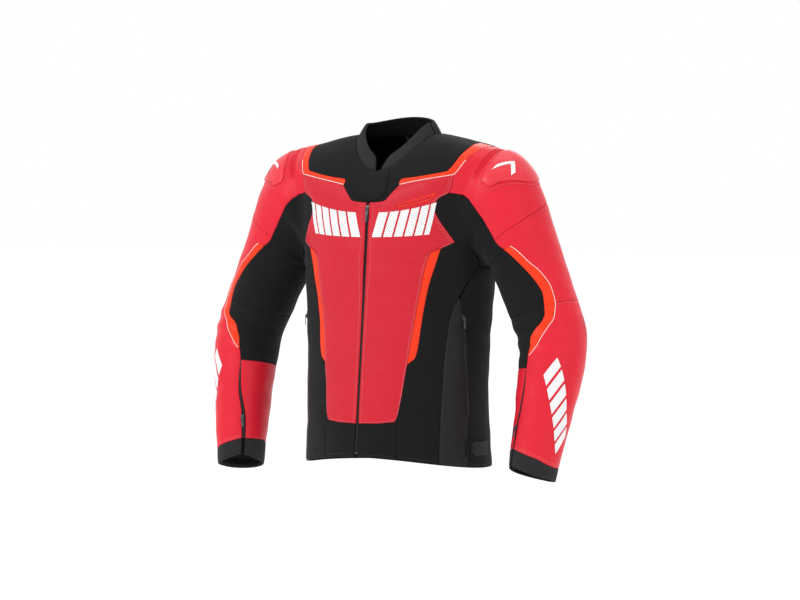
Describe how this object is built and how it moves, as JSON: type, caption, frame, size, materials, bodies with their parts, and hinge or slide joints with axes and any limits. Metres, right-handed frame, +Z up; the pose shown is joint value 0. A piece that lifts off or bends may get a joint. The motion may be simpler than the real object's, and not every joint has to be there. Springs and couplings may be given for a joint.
{
  "type": "leather riding jacket",
  "caption": "Waist-length leather riding jacket with stand-up collar, full front zip, pre-curved armoured sleeves, perforated chest and stretch side panels.",
  "frame": {"origin": "middle of the neck opening, at the level of the collar seam at the sides of the front", "axes": "+Z up as worn, -Y out of the front of the jacket, +X to the wearer's left"},
  "size_m": [0.8352, 0.3066, 0.7181],
  "materials": {
    "red_leather": "smooth dyed leather, finely perforated on the chest and back",
    "orange_leather": "smooth fluorescent orange leather",
    "black_fabric": "matt two-way stretch weave",
    "black_leather": "satin black leather",
    "neoprene": "matt soft-touch neoprene",
    "lining_mesh": "open mesh",
    "armour_foam": "moulded visco-elastic foam",
    "slider_shell": "moulded two-tone shell, satin",
    "zip_metal": "gunmetal",
    "zip_tape": "woven tape"
  },
  "bodies": {
    "torso": {"chest_panel_l": "red_leather", "chest_panel_r": "red_leather", "side_accent_l": "orange_leather", "side_accent_r": "orange_leather", "front_yoke_l": "black_fabric", "front_yoke_r": "black_fabric", "yoke_accent_l": "orange_leather", "yoke_accent_r": "orange_leather", "shoulder_saddle_l": "red_leather", "shoulder_saddle_r": "red_leather", "armhole_stretch_l": "black_fabric", "armhole_stretch_r": "black_fabric", "front_hem_l": "black_fabric", "front_hem_r": "black_fabric", "lower_front_l": "black_fabric", "lower_front_r": "black_fabric", "side_panel_l": "black_leather", "side_panel_r": "black_leather", "flank_l": "black_fabric", "flank_r": "black_fabric", "back_yoke": "black_fabric", "back_panel": "red_leather", "lumbar_panel": "black_leather", "collar_band": "neoprene", "torso_lining": "lining_mesh", "back_protector": "armour_foam", "connection_zip": "zip_tape", "zip_stringer_l": "zip_tape", "zip_stringer_r": "zip_tape", "shoulder_cap_l": "red_leather", "shoulder_cap_r": "red_leather", "underarm_l": "black_fabric", "underarm_r": "black_fabric", "shoulder_slider_l": "slider_shell", "shoulder_slider_r": "slider_shell"},
    "sleeve_l": {"sleeve_outer_l": "red_leather", "sleeve_accent_l": "orange_leather", "sleeve_inner_l": "black_fabric", "elbow_gusset_l": "black_fabric"},
    "forearm_l": {"forearm_outer_l": "red_leather", "forearm_inner_l": "red_leather", "cuff_l": "neoprene", "elbow_armour_l": "armour_foam"},
    "cuff_slider_l": {"cuff_slider_l": "zip_metal"},
    "pocket_slider_l": {"pocket_slider_l": "zip_metal"},
    "waist_tab_l": {"waist_tab_l": "black_fabric"},
    "sleeve_r": {"sleeve_outer_r": "red_leather", "sleeve_accent_r": "orange_leather", "sleeve_inner_r": "black_fabric", "elbow_gusset_r": "black_fabric"},
    "forearm_r": {"forearm_outer_r": "red_leather", "forearm_inner_r": "red_leather", "cuff_r": "neoprene", "elbow_armour_r": "armour_foam"},
    "cuff_slider_r": {"cuff_slider_r": "zip_metal"},
    "pocket_slider_r": {"pocket_slider_r": "zip_metal"},
    "waist_tab_r": {"waist_tab_r": "black_fabric"},
    "zip_slider": {"zip_slider": "zip_metal"},
    "zip_puller": {"zip_puller": "zip_metal"},
    "collar_tab": {"collar_tab": "black_fabric"}
  },
  "joints": [
    {"name": "front_zip", "type": "slide", "parent": "torso", "child": "zip_slider", "axis": [0, -0.0975, -0.9952], "range_m": [0, 0.45]},
    {"name": "front_zip_puller", "type": "hinge", "parent": "zip_slider", "child": "zip_puller", "pos_m": [0, -0.13059, -0.114], "axis": [-1, 0, 0], "range_deg": [0, 100]},
    {"name": "collar_tab_peel", "type": "hinge", "parent": "torso", "child": "collar_tab", "pos_m": [0.0341, -0.1165, -0.068], "axis": [-0.4699, 0.5151, 0.7169], "range_deg": [0, 100]},
    {"name": "shoulder_swing_l", "type": "hinge", "parent": "torso", "child": "sleeve_l", "pos_m": [0.203, 0, -0.112], "axis": [-0.9397, 0, 0.342], "range_deg": [-12, 25]},
    {"name": "elbow_bend_l", "type": "hinge", "parent": "sleeve_l", "child": "forearm_l", "pos_m": [0.3485, -0.0074, -0.3619], "axis": [-0.9818, 0, -0.19], "range_deg": [0, 55], "deforming": ["elbow_gusset_l"]},
    {"name": "cuff_zip_l", "type": "slide", "parent": "forearm_l", "child": "cuff_slider_l", "axis": [0.1031, 0.138, 0.9851], "range_m": [0, 0.085]},
    {"name": "pocket_zip_l", "type": "slide", "parent": "torso", "child": "pocket_slider_l", "axis": [0.0161, 0.0508, -0.9986], "range_m": [0, 0.15]},
    {"name": "waist_tab_peel_l", "type": "hinge", "parent": "torso", "child": "waist_tab_l", "pos_m": [0.1962, 0.0044, -0.5896], "axis": [0, 0, 1], "range_deg": [0, 110]},
    {"name": "shoulder_swing_r", "type": "hinge", "parent": "torso", "child": "sleeve_r", "pos_m": [-0.203, 0, -0.112], "axis": [-0.9397, 0, -0.342], "range_deg": [-12, 25]},
    {"name": "elbow_bend_r", "type": "hinge", "parent": "sleeve_r", "child": "forearm_r", "pos_m": [-0.3485, -0.0074, -0.3619], "axis": [-0.9818, 0, 0.19], "range_deg": [0, 55], "deforming": ["elbow_gusset_r"]},
    {"name": "cuff_zip_r", "type": "slide", "parent": "forearm_r", "child": "cuff_slider_r", "axis": [-0.1031, 0.138, 0.9851], "range_m": [0, 0.085]},
    {"name": "pocket_zip_r", "type": "slide", "parent": "torso", "child": "pocket_slider_r", "axis": [-0.0161, 0.0508, -0.9986], "range_m": [0, 0.15]},
    {"name": "waist_tab_peel_r", "type": "hinge", "parent": "torso", "child": "waist_tab_r", "pos_m": [-0.1962, 0.0044, -0.5896], "axis": [0, 0, -1], "range_deg": [0, 110]}
  ]
}
